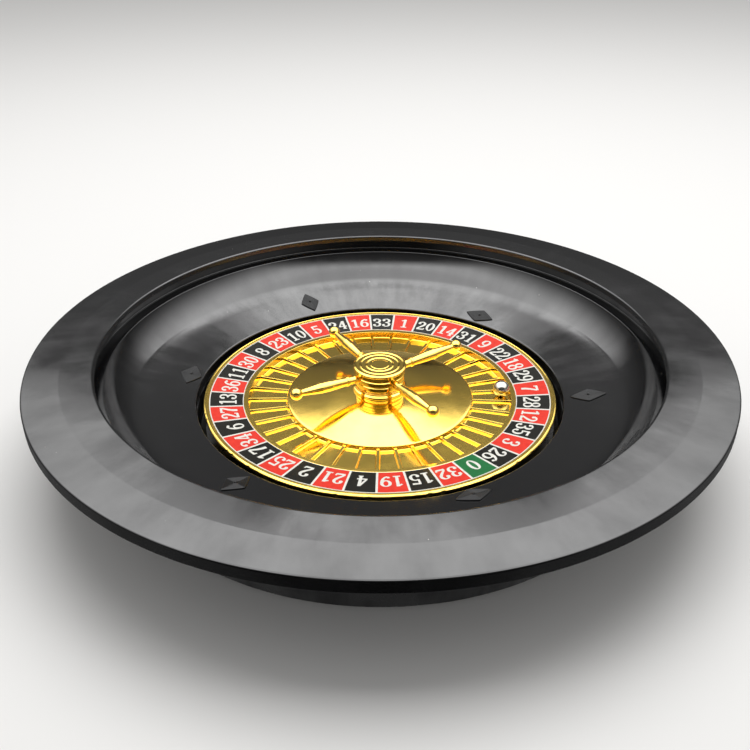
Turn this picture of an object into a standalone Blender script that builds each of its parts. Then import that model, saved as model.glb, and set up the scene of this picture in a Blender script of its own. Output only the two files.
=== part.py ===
"""A 400 mm roulette wheel: a black moulded bowl and rim with six diamond deflectors, on a conical casing
with a base plate, and a gold wheel head that turns on a ball bearing and carries the number ring,
37 pockets and a turret with four handles.

Lengths are in metres and heights are above the surface that the wheel stands on.
Every height is stacked up from the floor through the spindle, the bearing and the wheel head,
and every radius of the bowl is stacked outwards from the wheel head's flange.
"""

import math

import bmesh
import bpy
from mathutils import Matrix, Vector

MM = 0.001

# Fits and shared values
GAP = 0.3 * MM  # between pieces that seat on each other
OVERRUN = 1.0 * MM  # how far a cutter passes the face that it cuts
MERGE = 0.01 * MM
POCKETS = 37
PITCH = 2 * math.pi / POCKETS
FIRST_DIVIDER = math.radians(-3.36)  # azimuth of the divider before the first pocket
WHEEL_SIDES = 2 * POCKETS
BOWL_SIDES = 40
TURRET_SIDES = 20
SMALL_SIDES = 16
DOWEL_SIDES = 8

# Spindle stack, from the floor up
HEAD_FLOOR_GAP = 2.1 * MM
SPINDLE_R = 3.7 * MM
BOLT_HEAD_R = 7.5 * MM
BOLT_HEAD_HEIGHT = 5.3 * MM
WASHER_R = 9.0 * MM
WASHER_THICKNESS = 1.6 * MM
HUB_THICKNESS = 5.5 * MM
HUB_R = 13.0 * MM
NUT_R = 7.5 * MM
NUT_HEIGHT = 4.0 * MM
SPINDLE_END = 0.8 * MM  # thread that stands out of the top nut
SPINDLE_CHAMFER = 0.7 * MM
TOP_WASHER_R = 6.6 * MM
TOP_WASHER_THICKNESS = 1.2 * MM

# Ball bearing of the 8 by 22 by 7 size
BEARING_BORE_R = 4.0 * MM
BEARING_R = 11.0 * MM
BEARING_WIDTH = 7.0 * MM
RACE_THICKNESS = 1.9 * MM
RACE_GROOVE_R = 2.2 * MM
RACE_GROOVE_DEPTH = 0.6 * MM
BEARING_BALL_R = 1.9 * MM
BEARING_BALLS = 7
CAGE_THICKNESS = 0.7 * MM
CAGE_GAP = 0.3 * MM
CAGE_WIDTH = 1.8 * MM

# Wheel head, from its hub out to its flange
HEAD_WALL = 2.2 * MM
HUB_CUP_R = 14.0 * MM
HUB_CEILING = 4.8 * MM
HUB_CUP_SHARE = 0.85  # of the bearing's width, how far the hub cup reaches down over it
HUB_HOLE_R = 10.0 * MM
TURRET_SEAT_R = 15.9 * MM
DISC_WIDTH = 39.5 * MM
DISC_DROP = 5.0 * MM
DISC_EDGE = 0.5 * MM
POCKET_DEPTH = 2.8 * MM  # below the edge of the centre disc
POCKET_LENGTH = 22.0 * MM
POCKET_DRAFT = 0.5 * MM
BAND_ABOVE_DISC = 1.2 * MM
BAND_WIDTH = 2.9 * MM
RING_WIDTH = 20.1 * MM
RING_RISE = 1.76 * MM
RING_THICKNESS = 0.5 * MM
FLANGE_WIDTH = 3.4 * MM
FLANGE_BEAD = 0.9 * MM
FLANGE_DROP = 1.2 * MM
FRET_BASE = 2.3 * MM
FRET_TOP = 1.6 * MM
FRET_HEIGHT = 2.1 * MM

# Bowl and rim, from the well that the wheel head turns in outwards
BOWL_WALL = 2.6 * MM
WELL_GAP = 4.0 * MM
WELL_EDGE = 1.0 * MM
WELL_COLLAR = 6.0 * MM  # how far the bowl's inner edge reaches down
CONE_WIDTH = 33.0 * MM
CONE_RISE = 6.4 * MM
CONE_START_RISE = 1.1 * MM  # of the well's edge, above the number ring
BANK_WIDTH = 16.0 * MM
BANK_RISE = 16.5 * MM
BANK_TURN = math.radians(41.0)
BANK_STEPS = 4
LIP_STEP = 3.6 * MM
TRACK_UNDERCUT = 4.4 * MM
TRACK_HEIGHT = 6.8 * MM
LIP_HEIGHT = 4.0 * MM
LIP_ROUND = 0.6 * MM
RIM_WIDTH = 38.1 * MM
RIM_FLAT_SHARE = 0.48  # of the rim's width, from the lip to the crease
RIM_FLAT_DROP = 0.45 * MM
RIM_SLOPE_DROP = 1.95 * MM
RIM_EDGE = 0.8 * MM
SKIRT_HEIGHT = 6.1 * MM
RIM_SPIGOT_WIDTH = 2.0 * MM  # the ring under the rim that locates it round the bowl
RIM_SPIGOT_DEPTH = 4.5 * MM

# Casing and base plate
CASING_LEAN = 15.6 * MM
CASING_WALL = 3.2 * MM
CASING_LEDGE = 4.5 * MM  # the step inside the casing that the base plate lies on
LEDGE_THICKNESS = 2.5 * MM
WELL_FLOOR_DROP = 2.1 * MM  # from the top of the hub down to the base plate
WELL_FILLET = 4.0 * MM
WELL_FILLET_STEPS = 2
PLATE_RIBS = 6
RIB_THICKNESS = 2.0 * MM
RIB_FLOOR_GAP = 4.0 * MM
RIB_HUB_RISE = 1.0 * MM

# Feet
FEET = 6
PAD_R = 6.5 * MM
PAD_HEIGHT = 1.7 * MM
PAD_ROUND = 0.5 * MM
PAD_STEM_R = 2.2 * MM
PAD_STEM_LENGTH = 5.0 * MM
FOOT_BOSS_R = 7.5 * MM

# Deflectors
DEFLECTORS = 6
FIRST_DEFLECTOR = math.radians(53.7)
DEFLECTOR_LENGTH = 20.5 * MM
DEFLECTOR_WIDTH = 12.8 * MM
DEFLECTOR_BASE = 0.7 * MM
DEFLECTOR_CROWN = 0.7 * MM
DEFLECTOR_CROWN_SHARE = 0.62
ACROSS_OFFSET = 7.5 * MM  # from the well's edge to the middle of a deflector that lies across the cone
ALONG_OFFSET = 14.2 * MM  # the same for one that lies along the cone's slope
DOWEL_R = 1.0 * MM
DOWEL_LENGTH = 1.5 * MM
DOWEL_SPACING = 9.0 * MM

# Turret
SAUCER_R = 15.9 * MM
SAUCER_FOOT_R = 14.8 * MM
SAUCER_HEIGHT = 2.4 * MM
SAUCER_ROUND = 0.5 * MM
NECK_R = 13.8 * MM
NECK_HEIGHT = 1.2 * MM
SPIGOT_WALL = 1.8 * MM
SPIGOT_LENGTH = 1.2 * MM
NUT_ROOM = 0.5 * MM
COLUMN_R = 5.0 * MM
DRUM_R = 15.0 * MM
DRUM_HEIGHT = 9.6 * MM
DRUM_GROOVE = 0.35 * MM
DRUM_GROOVE_WIDTH = 0.9 * MM
DRUM_GROOVE_SHARES = (0.69, 0.33)  # of the drum's height
DRUM_ROUND = 0.4 * MM
CAP_R = 15.8 * MM
CAP_THICKNESS = 1.4 * MM
CAP_BEAD = 0.45 * MM
CAP_BEAD_SHARES = (0.93, 0.73, 0.5)  # of the cap's radius, the crests of its three rings
CAP_VALLEY_SHARES = (0.82, 0.61, 0.4)
CAP_PEG_R = 2.2 * MM
CAP_PEG_LENGTH = 6.0 * MM

# Handles
HANDLES = 4
FIRST_HANDLE = math.radians(31.6)
HANDLE_RISE = math.radians(3.5)
HANDLE_ENTRY_SHARE = 0.61  # of the drum's height
HANDLE_SPIGOT_R = 1.5 * MM
HANDLE_SPIGOT_LENGTH = 6.5 * MM
STUB_R = 2.3 * MM
STUB_LENGTH = 6.5 * MM
COLLAR_R = 2.9 * MM
COLLAR_WIDTH = 1.2 * MM
GRIP_START_R = 2.5 * MM
GRIP_WIDE_R = 3.2 * MM
GRIP_END_R = 1.8 * MM
GRIP_SWELL = 15.2 * MM  # from the collar to the widest place
GRIP_TAPER = 14.4 * MM
KNOB_R = 3.6 * MM
KNOB_STEPS = 4
HANDLE_SIDES = 8

# Ball
BALL_R = 5.0 * MM
BALL_POCKET = 0

# Heights worked out from the stack
head_bottom = HEAD_FLOOR_GAP
washer_bottom = head_bottom + BOLT_HEAD_HEIGHT + GAP
hub_bottom = washer_bottom + WASHER_THICKNESS + GAP
hub_top = hub_bottom + HUB_THICKNESS
nut_bottom = hub_top + GAP
bearing_bottom = nut_bottom + NUT_HEIGHT + GAP
bearing_top = bearing_bottom + BEARING_WIDTH
ceiling = bearing_top + GAP
seat_z = ceiling + HUB_CEILING
top_washer_bottom = bearing_top + GAP
top_nut_bottom = top_washer_bottom + TOP_WASHER_THICKNESS + GAP
spindle_top = top_nut_bottom + NUT_HEIGHT + SPINDLE_END
disc_edge_z = seat_z - DISC_DROP
pocket_z = disc_edge_z - POCKET_DEPTH
band_z = disc_edge_z + BAND_ABOVE_DISC
ring_inner_z = band_z + DISC_EDGE - GAP
label_z = ring_inner_z + RING_RISE
cone_z = label_z + CONE_START_RISE
crease_z = cone_z + CONE_RISE
ridge_z = crease_z + BANK_RISE
track_top_z = ridge_z + TRACK_HEIGHT
lip_z = track_top_z + LIP_HEIGHT
rim_crease_z = lip_z - RIM_FLAT_DROP
rim_edge_z = rim_crease_z - RIM_SLOPE_DROP
casing_z = PAD_HEIGHT + GAP
casing_top_z = ridge_z - BOWL_WALL - GAP
plate_z = hub_top - WELL_FLOOR_DROP
plate_bottom = plate_z - BOWL_WALL
ledge_z = plate_bottom - GAP
collar_bottom = cone_z - WELL_COLLAR

# Radii worked out from the wheel head outwards
disc_r = TURRET_SEAT_R + DISC_WIDTH
pocket_in_r = disc_r + DISC_EDGE + POCKET_DRAFT
pocket_out_r = pocket_in_r + POCKET_LENGTH
band_in_r = pocket_out_r + POCKET_DRAFT
ring_in_r = band_in_r + BAND_WIDTH
ring_out_r = ring_in_r + RING_WIDTH
flange_r = ring_out_r + FLANGE_WIDTH
well_r = flange_r + WELL_GAP
crease_r = well_r + CONE_WIDTH
ridge_r = crease_r + BANK_WIDTH
lip_r = ridge_r + LIP_STEP
track_r = lip_r + TRACK_UNDERCUT
rim_r = lip_r + RIM_WIDTH
rim_crease_r = lip_r + RIM_WIDTH * RIM_FLAT_SHARE
casing_top_r = track_r + BOWL_WALL
casing_foot_r = casing_top_r - CASING_LEAN
casing_slope = CASING_LEAN / (casing_top_z - casing_z)
plate_r = casing_foot_r - CASING_WALL + (plate_bottom - casing_z) * casing_slope - GAP
ledge_r = plate_r - CASING_LEDGE
foot_r = ledge_r * math.cos(math.pi / BOWL_SIDES) - GAP - FOOT_BOSS_R  # clear of the ledge's flats
cone_slope = math.atan2(CONE_RISE, CONE_WIDTH)

for old in list(bpy.data.objects):
    bpy.data.objects.remove(old, do_unlink=True)

PARTS = bpy.data.collections.new("roulette_wheel")
CUTTERS = bpy.data.collections.new("cutters")
bpy.context.scene.collection.children.link(PARTS)
bpy.context.scene.collection.children.link(CUTTERS)


def finish(name, color, metallic, roughness):
    """A Principled material of one plain finish."""
    material = bpy.data.materials.new(name)
    material.use_nodes = True
    shader = material.node_tree.nodes["Principled BSDF"]
    shader.inputs["Base Color"].default_value = (*color, 1.0)
    shader.inputs["Metallic"].default_value = metallic
    shader.inputs["Roughness"].default_value = roughness
    material.diffuse_color = (*color, 1.0)
    return material


BLACK_PLASTIC = finish("moulded_black_plastic", (0.012, 0.012, 0.013), 0.0, 0.28)
GOLD_PLATING = finish("gold_plating", (0.83, 0.62, 0.2), 1.0, 0.12)
PRINTED_CARD = finish("printed_number_ring", (0.72, 0.06, 0.05), 0.0, 0.45)
BRIGHT_STEEL = finish("bright_steel", (0.6, 0.6, 0.62), 1.0, 0.22)
POLISHED_STEEL = finish("polished_steel", (0.75, 0.75, 0.76), 1.0, 0.06)
CAGE_POLYMER = finish("cage_polymer", (0.05, 0.05, 0.055), 0.0, 0.5)
PAD_RUBBER = finish("pad_rubber", (0.02, 0.02, 0.02), 0.0, 0.8)


def add_object(name, mesh, material):
    """A part in the wheel's own collection."""
    piece = bpy.data.objects.new(name, mesh)
    PARTS.objects.link(piece)
    mesh.materials.append(material)
    return piece


def as_cutter(piece):
    """Moves an object into the hidden cutters."""
    for home in list(piece.users_collection):
        home.objects.unlink(piece)
    CUTTERS.objects.link(piece)
    piece.hide_render = True
    piece.display_type = "WIRE"
    return piece


def turned(name, outline, sides, material, ring=True):
    """Turns an outline of (radius, height) points about Z. It runs down the outer side of the piece.
    A ring's outline is closed, and any other starts and ends on the axis."""
    mesh = bpy.data.meshes.new(name)
    last = len(outline) - 1
    edges = [(i, i + 1) for i in range(last)]
    if ring:
        edges.append((last, 0))
    mesh.from_pydata([(radius, 0, height) for radius, height in outline], edges, [])
    piece = add_object(name, mesh, material)
    screw = piece.modifiers.new("turn", "SCREW")
    screw.steps = sides
    screw.render_steps = sides
    screw.use_smooth_shade = True
    screw.use_merge_vertices = True
    screw.merge_threshold = MERGE
    return piece


def solid_from(name, build, material):
    """A part whose mesh the given function fills."""
    mesh = bpy.data.meshes.new(name)
    bm = bmesh.new()
    build(bm)
    bmesh.ops.recalc_face_normals(bm, faces=bm.faces)
    bm.to_mesh(mesh)
    bm.free()
    return add_object(name, mesh, material)


def boolean(piece, tool, operation):
    """Joins a hidden tool to a piece, or takes it away."""
    change = piece.modifiers.new(tool.name, "BOOLEAN")
    change.operation = operation
    change.object = tool


def cylinder(bm, radius, low, high, sides, place=None):
    """An upright closed cylinder in a bmesh, at a point of the XY plane."""
    middle = Matrix.Translation((0, 0, (low + high) / 2))
    matrix = (place or Matrix()) @ middle
    bmesh.ops.create_cone(
        bm, cap_ends=True, segments=sides, radius1=radius, radius2=radius, depth=high - low, matrix=matrix
    )


def arc(start, end, turn, steps):
    """Points on the arc from start to end that turns anticlockwise by the given angle, ends included."""
    (r0, z0), (r1, z1) = start, end
    chord = math.hypot(r1 - r0, z1 - z0)
    radius = chord / (2 * math.sin(turn / 2))
    heading = math.atan2(z1 - z0, r1 - r0) - turn / 2
    centre_r = r0 - radius * math.sin(heading)
    centre_z = z0 + radius * math.cos(heading)
    points = []
    for i in range(steps + 1):
        angle = heading + turn * i / steps
        points.append((centre_r + radius * math.sin(angle), centre_z - radius * math.cos(angle)))
    return points


def below(path, distance):
    """The path moved to its right-hand side by a wall's thickness, with mitred corners."""
    moved = []
    for i, (radius, height) in enumerate(path):
        before = Vector(path[max(i - 1, 0)])
        here = Vector((radius, height))
        after = Vector(path[min(i + 1, len(path) - 1)])
        first = (here - before) if i else (after - here)
        second = (after - here) if i < len(path) - 1 else first
        normals = [Vector((side.y, -side.x)).normalized() for side in (first, second)]
        mitre = (normals[0] + normals[1]).normalized()
        reach = distance / mitre.dot(normals[0])
        moved.append(tuple(here + mitre * reach))
    return moved


def around(angle, radius=0.0, height=0.0):
    """The place at an azimuth and a radius, turned to face outwards along X."""
    return Matrix.Rotation(angle, 4, "Z") @ Matrix.Translation((radius, 0, height))


def cone_height(radius):
    """Height of the bowl's cone at a radius."""
    return cone_z + (radius - well_r) * CONE_RISE / CONE_WIDTH


def deflector_place(index):
    """The frame on the cone's slope at one deflector: long side on local X, outwards and up on it or across it."""
    along = index % 2 == 1
    radius = well_r + (ALONG_OFFSET if along else ACROSS_OFFSET)
    azimuth = FIRST_DEFLECTOR + index * 2 * math.pi / DEFLECTORS
    place = around(azimuth, radius, cone_height(radius)) @ Matrix.Rotation(-cone_slope, 4, "Y")
    return place @ Matrix.Rotation(0.0 if along else math.pi / 2, 4, "Z")


def foot_place(index):
    """The upright frame of one foot, just inside the casing's ledge."""
    return around(index * 2 * math.pi / FEET, foot_r)


def make_bowl():
    """The moulded bowl: the well's edge with its collar, the cone, the bank, and the shelf and wall of the track."""
    bank = arc((crease_r, crease_z), (ridge_r, ridge_z), BANK_TURN, BANK_STEPS)
    sheet = [(well_r, collar_bottom), (well_r, cone_z), *bank, (track_r, ridge_z)]
    inside = list(reversed(below(sheet, BOWL_WALL)))[1:]
    outline = [
        (well_r, cone_z - WELL_EDGE),
        (well_r + WELL_EDGE, cone_height(well_r + WELL_EDGE)),
        *bank,
        (track_r - LIP_ROUND, ridge_z),
        (track_r, ridge_z + LIP_ROUND),
        (track_r, track_top_z - GAP),
        (casing_top_r, track_top_z - GAP),
        (casing_top_r, ridge_z - BOWL_WALL),
        *inside,
        (well_r, collar_bottom),
    ]
    bowl = turned("bowl", outline, BOWL_SIDES, BLACK_PLASTIC)

    def holes(bm):
        for i in range(DEFLECTORS):
            for side in (-1, 1):
                shift = Matrix.Translation((side * DOWEL_SPACING / 2, 0, 0))
                place = deflector_place(i) @ shift
                cylinder(bm, DOWEL_R + GAP, -DOWEL_LENGTH - GAP, OVERRUN, DOWEL_SIDES, place)

    boolean(bowl, as_cutter(solid_from("dowel_hole_tool", holes, BLACK_PLASTIC)), "DIFFERENCE")


def make_rim():
    """The broad rim with its overhanging lip and its skirt, located round the bowl by a ring underneath."""
    skirt_bottom = rim_edge_z - RIM_EDGE - SKIRT_HEIGHT
    inner_rim_r = rim_r - BOWL_WALL
    under_z = rim_crease_z - BOWL_WALL
    spigot_in_r = casing_top_r + GAP
    spigot_r = spigot_in_r + RIM_SPIGOT_WIDTH
    outline = [
        (lip_r + LIP_ROUND, track_top_z),
        (lip_r, track_top_z + LIP_ROUND),
        (lip_r, lip_z - LIP_ROUND),
        (lip_r + LIP_ROUND, lip_z),
        (rim_crease_r, rim_crease_z),
        (rim_r - RIM_EDGE, rim_edge_z),
        (rim_r, rim_edge_z - RIM_EDGE),
        (rim_r, skirt_bottom),
        (inner_rim_r, skirt_bottom),
        (inner_rim_r, rim_edge_z - BOWL_WALL),
        (rim_crease_r, under_z),
        (spigot_r, under_z),
        (spigot_r, track_top_z - RIM_SPIGOT_DEPTH),
        (spigot_in_r, track_top_z - RIM_SPIGOT_DEPTH),
        (spigot_in_r, track_top_z),
    ]
    turned("rim", outline, BOWL_SIDES, BLACK_PLASTIC)


def make_casing():
    """The conical wall from the bowl down to the feet, with the ledge that the base plate lies on."""
    low_inner = (casing_foot_r - CASING_WALL, casing_z)
    ledge_low = ledge_z - LEDGE_THICKNESS
    outline = [
        (casing_top_r - CASING_WALL, casing_top_z),
        (casing_top_r, casing_top_z),
        (casing_foot_r, casing_z),
        low_inner,
        (low_inner[0] + (ledge_low - casing_z) * casing_slope, ledge_low),
        (ledge_r, ledge_low),
        (ledge_r, ledge_z),
        (low_inner[0] + (ledge_z - casing_z) * casing_slope, ledge_z),
    ]
    turned("casing", outline, BOWL_SIDES, BLACK_PLASTIC)


def plate_ribs():
    """Radial ribs under the base plate, from the hub to the casing's ledge."""
    start = HUB_R - RIB_THICKNESS
    end = ledge_r - RIB_THICKNESS
    top = plate_z - BOWL_WALL / 2
    outline = [(start, top), (end, top), (end, casing_z + RIB_FLOOR_GAP), (start, hub_bottom + RIB_HUB_RISE)]

    def build(bm):
        for i in range(PLATE_RIBS):
            turn = around((i + 0.5) * 2 * math.pi / PLATE_RIBS)
            sides = []
            for y in (-RIB_THICKNESS / 2, RIB_THICKNESS / 2):
                sides.append([bm.verts.new(turn @ Vector((r, y, z))) for r, z in outline])
            for side in sides:
                bm.faces.new(side)
            for j in range(len(outline)):
                k = (j + 1) % len(outline)
                bm.faces.new((sides[0][j], sides[0][k], sides[1][k], sides[1][j]))

    return as_cutter(solid_from("plate_rib_tool", build, BLACK_PLASTIC))


def make_base_plate():
    """The plate that closes the casing and carries the spindle's hub, the well's wall, the ribs and the foot bosses."""
    hole_r = SPINDLE_R + GAP
    well_wall_top = collar_bottom - GAP
    step = WELL_FLOOR_DROP / 2
    corner = arc((well_r - WELL_FILLET, plate_z), (well_r, plate_z + WELL_FILLET), math.pi / 2, WELL_FILLET_STEPS)
    outline = [
        (hole_r, hub_top),
        (HUB_R, hub_top),
        (HUB_R + step, plate_z),
        *corner,
        (well_r, well_wall_top),
        (well_r + BOWL_WALL, well_wall_top),
        (well_r + BOWL_WALL, plate_z),
        (plate_r, plate_z),
        (plate_r, plate_bottom),
        (HUB_R + 2 * step, plate_bottom),
        (HUB_R + step, hub_bottom),
        (hole_r, hub_bottom),
    ]
    plate = turned("base_plate", outline, BOWL_SIDES, BLACK_PLASTIC)
    boolean(plate, plate_ribs(), "UNION")

    def bosses(bm):
        for i in range(FEET):
            cylinder(bm, FOOT_BOSS_R, casing_z, plate_z - BOWL_WALL / 2, SMALL_SIDES, foot_place(i))

    def holes(bm):
        for i in range(FEET):
            hole_top = PAD_HEIGHT + PAD_STEM_LENGTH + GAP
            cylinder(bm, PAD_STEM_R + GAP, casing_z - OVERRUN, hole_top, HANDLE_SIDES, foot_place(i))

    boolean(plate, as_cutter(solid_from("foot_boss_tool", bosses, BLACK_PLASTIC)), "UNION")
    boolean(plate, as_cutter(solid_from("foot_hole_tool", holes, BLACK_PLASTIC)), "DIFFERENCE")


def make_foot_pads():
    """Six rubber pads, each with a stem in its boss."""
    for i in range(FEET):
        outline = [
            (0, PAD_HEIGHT + PAD_STEM_LENGTH),
            (PAD_STEM_R, PAD_HEIGHT + PAD_STEM_LENGTH),
            (PAD_STEM_R, PAD_HEIGHT),
            (PAD_R, PAD_HEIGHT),
            (PAD_R, PAD_ROUND),
            (PAD_R - PAD_ROUND, 0),
            (0, 0),
        ]
        pad = turned(f"foot_pad_{i + 1}", outline, HANDLE_SIDES, PAD_RUBBER, ring=False)
        pad.matrix_world = foot_place(i)


def make_deflectors():
    """Six diamond deflectors, every second one along the slope, each on two dowels in the cone."""
    half_length = DEFLECTOR_LENGTH / 2
    half_width = DEFLECTOR_WIDTH / 2
    levels = (
        (GAP, 1.0),
        (GAP + DEFLECTOR_BASE, 1.0),
        (GAP + DEFLECTOR_BASE + DEFLECTOR_CROWN, DEFLECTOR_CROWN_SHARE),
    )

    def build(bm):
        rows = []
        for height, share in levels:
            x = half_length * share
            y = half_width * share
            corners = ((x, 0, height), (0, y, height), (-x, 0, height), (0, -y, height))
            rows.append([bm.verts.new(corner) for corner in corners])
        bm.faces.new(rows[0])
        bm.faces.new(rows[-1])
        for low, high in zip(rows, rows[1:]):
            for i in range(len(low)):
                j = (i + 1) % len(low)
                bm.faces.new((low[i], low[j], high[j], high[i]))

    def dowels(bm):
        for side in (-1, 1):
            place = Matrix.Translation((side * DOWEL_SPACING / 2, 0, 0))
            cylinder(bm, DOWEL_R, -DOWEL_LENGTH, GAP + DEFLECTOR_BASE / 2, DOWEL_SIDES, place)

    tool = as_cutter(solid_from("dowel_tool", dowels, BLACK_PLASTIC))
    for i in range(DEFLECTORS):
        deflector = solid_from(f"deflector_{i + 1}", build, BLACK_PLASTIC)
        deflector.matrix_world = deflector_place(i)
        own_tool = tool if i == 0 else as_cutter(tool.copy())
        own_tool.matrix_world = deflector_place(i)
        boolean(deflector, own_tool, "UNION")


def hexagon(bm, radius, low, high):
    """A hexagonal prism."""
    cylinder(bm, radius, low, high, 6)


def make_nut(name, low):
    """A thin hexagonal nut with its bore clear of the spindle."""
    nut = solid_from(name, lambda bm: hexagon(bm, NUT_R, low, low + NUT_HEIGHT), BRIGHT_STEEL)
    bore = solid_from(
        f"{name}_bore_tool",
        lambda bm: cylinder(bm, SPINDLE_R + GAP, low - OVERRUN, low + NUT_HEIGHT + OVERRUN, SMALL_SIDES),
        BRIGHT_STEEL,
    )
    boolean(nut, as_cutter(bore), "DIFFERENCE")


def washer(name, radius, low, thickness):
    """A flat washer round the spindle."""
    bore_r = SPINDLE_R + GAP
    outline = [(bore_r, low + thickness), (radius, low + thickness), (radius, low), (bore_r, low)]
    turned(name, outline, SMALL_SIDES, BRIGHT_STEEL)


def make_spindle():
    """The fixed spindle bolt with its washers and its two thin nuts."""
    shank_low = head_bottom + BOLT_HEAD_HEIGHT
    outline = [
        (0, spindle_top),
        (SPINDLE_R - SPINDLE_CHAMFER, spindle_top),
        (SPINDLE_R, spindle_top - SPINDLE_CHAMFER),
        (SPINDLE_R, shank_low - BOLT_HEAD_HEIGHT / 2),
        (0, shank_low - BOLT_HEAD_HEIGHT / 2),
    ]
    spindle = turned("spindle_bolt", outline, SMALL_SIDES, BRIGHT_STEEL, ring=False)
    head = solid_from(
        "bolt_head_tool", lambda bm: hexagon(bm, BOLT_HEAD_R, head_bottom, shank_low), BRIGHT_STEEL
    )
    boolean(spindle, as_cutter(head), "UNION")
    washer("spindle_lower_washer", WASHER_R, washer_bottom, WASHER_THICKNESS)
    make_nut("spindle_lock_nut", nut_bottom)
    washer("spindle_upper_washer", TOP_WASHER_R, top_washer_bottom, TOP_WASHER_THICKNESS)
    make_nut("spindle_top_nut", top_nut_bottom)


def make_bearing():
    """The grooved races, the seven balls, and the flat cage ring above them."""
    middle = bearing_bottom + BEARING_WIDTH / 2
    inner_r = BEARING_BORE_R + RACE_THICKNESS
    outer_r = BEARING_R - RACE_THICKNESS
    ball_track_r = (inner_r + outer_r) / 2
    inner_outline = [
        (BEARING_BORE_R, bearing_top),
        (inner_r, bearing_top),
        (inner_r, middle + RACE_GROOVE_R),
        (inner_r - RACE_GROOVE_DEPTH, middle),
        (inner_r, middle - RACE_GROOVE_R),
        (inner_r, bearing_bottom),
        (BEARING_BORE_R, bearing_bottom),
    ]
    turned("bearing_inner_race", inner_outline, SMALL_SIDES, BRIGHT_STEEL)
    outer_outline = [
        (outer_r, bearing_top),
        (BEARING_R, bearing_top),
        (BEARING_R, bearing_bottom),
        (outer_r, bearing_bottom),
        (outer_r, middle - RACE_GROOVE_R),
        (outer_r + RACE_GROOVE_DEPTH, middle),
        (outer_r, middle + RACE_GROOVE_R),
    ]
    turned("bearing_outer_race", outer_outline, SMALL_SIDES, BRIGHT_STEEL)
    cage_low = middle + BEARING_BALL_R + CAGE_GAP
    half_cage = CAGE_WIDTH / 2
    cage_outline = [
        (ball_track_r - half_cage, cage_low + CAGE_THICKNESS),
        (ball_track_r + half_cage, cage_low + CAGE_THICKNESS),
        (ball_track_r + half_cage, cage_low),
        (ball_track_r - half_cage, cage_low),
    ]
    turned("bearing_cage", cage_outline, SMALL_SIDES, CAGE_POLYMER)

    for i in range(BEARING_BALLS):
        ball = solid_from(f"bearing_ball_{i + 1}", bearing_ball, POLISHED_STEEL)
        ball.matrix_world = around(i * 2 * math.pi / BEARING_BALLS, ball_track_r, middle)


def bearing_ball(bm):
    """One small ball about its own centre."""
    bmesh.ops.create_uvsphere(bm, u_segments=8, v_segments=4, radius=BEARING_BALL_R)


def fret_tool():
    """The 37 dividers between the pockets: tapered bars whose ends run into the disc and the outer wall."""
    low = pocket_z - HEAD_WALL / 2
    high = pocket_z + FRET_HEIGHT
    start = disc_r - DISC_EDGE / 2
    end = band_in_r + POCKET_DRAFT
    length = end - start

    def build(bm):
        for i in range(POCKETS):
            place = around(i * PITCH, start + length / 2, (low + high) / 2)
            size = Matrix.Diagonal((length, FRET_BASE, high - low, 1.0))
            made = bmesh.ops.create_cube(bm, size=1.0, matrix=place @ size)
            side = Vector((-math.sin(i * PITCH), math.cos(i * PITCH), 0))
            for vert in made["verts"]:
                if vert.co.z > pocket_z:
                    across = vert.co.dot(side)
                    vert.co -= side * across * (1 - FRET_TOP / FRET_BASE)

    return as_cutter(solid_from("fret_tool", build, GOLD_PLATING))


def make_wheel_head():
    """The gold-plated wheel head: hub cup, conical centre disc, pocket ring with its frets, ring seat and flange."""
    seat_drop = RING_THICKNESS + GAP
    sheet = [
        (TURRET_SEAT_R, seat_z),
        (disc_r, disc_edge_z),
        (pocket_in_r, pocket_z),
        (pocket_out_r, pocket_z),
        (band_in_r, band_z),
    ]
    bead_r = ring_out_r + FLANGE_WIDTH / 2
    top = [
        (HUB_HOLE_R, seat_z),
        (TURRET_SEAT_R, seat_z),
        (disc_r, disc_edge_z),
        (disc_r + DISC_EDGE, disc_edge_z - DISC_EDGE / 2),
        (pocket_in_r, pocket_z),
        (pocket_out_r, pocket_z),
        (band_in_r, band_z),
        (ring_in_r - GAP, band_z),
        (ring_in_r - GAP, ring_inner_z - seat_drop),
        (ring_out_r + GAP, label_z - seat_drop),
        (ring_out_r + GAP, label_z + FLANGE_BEAD / 2),
        (bead_r, label_z + FLANGE_BEAD),
        (flange_r, label_z),
        (flange_r, label_z - FLANGE_DROP),
        (bead_r, label_z - FLANGE_DROP - HEAD_WALL),
    ]
    inside = list(reversed(below(sheet, HEAD_WALL)))
    shelf = (inside[0][0] + HEAD_WALL, ring_inner_z - seat_drop - HEAD_WALL)
    cup_low = bearing_top - BEARING_WIDTH * HUB_CUP_SHARE
    cup_bore_r = BEARING_R + GAP
    hub = [
        (HUB_CUP_R, inside[-1][1]),
        (HUB_CUP_R, cup_low),
        (cup_bore_r, cup_low),
        (cup_bore_r, ceiling),
        (HUB_HOLE_R, ceiling),
    ]
    head = turned("wheel_head", top + [shelf] + inside[1:-1] + hub, WHEEL_SIDES, GOLD_PLATING)
    frets = fret_tool()
    for piece in (head, frets):
        piece.rotation_euler.z = FIRST_DIVIDER
    boolean(head, frets, "UNION")


def make_number_ring():
    """The thin printed ring in its seat, which slopes down towards the pockets."""
    outline = [
        (ring_in_r, ring_inner_z),
        (ring_out_r, label_z),
        (ring_out_r, label_z - RING_THICKNESS),
        (ring_in_r, ring_inner_z - RING_THICKNESS),
    ]
    ring = turned("number_ring", outline, WHEEL_SIDES, PRINTED_CARD)
    ring.rotation_euler.z = FIRST_DIVIDER


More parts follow.
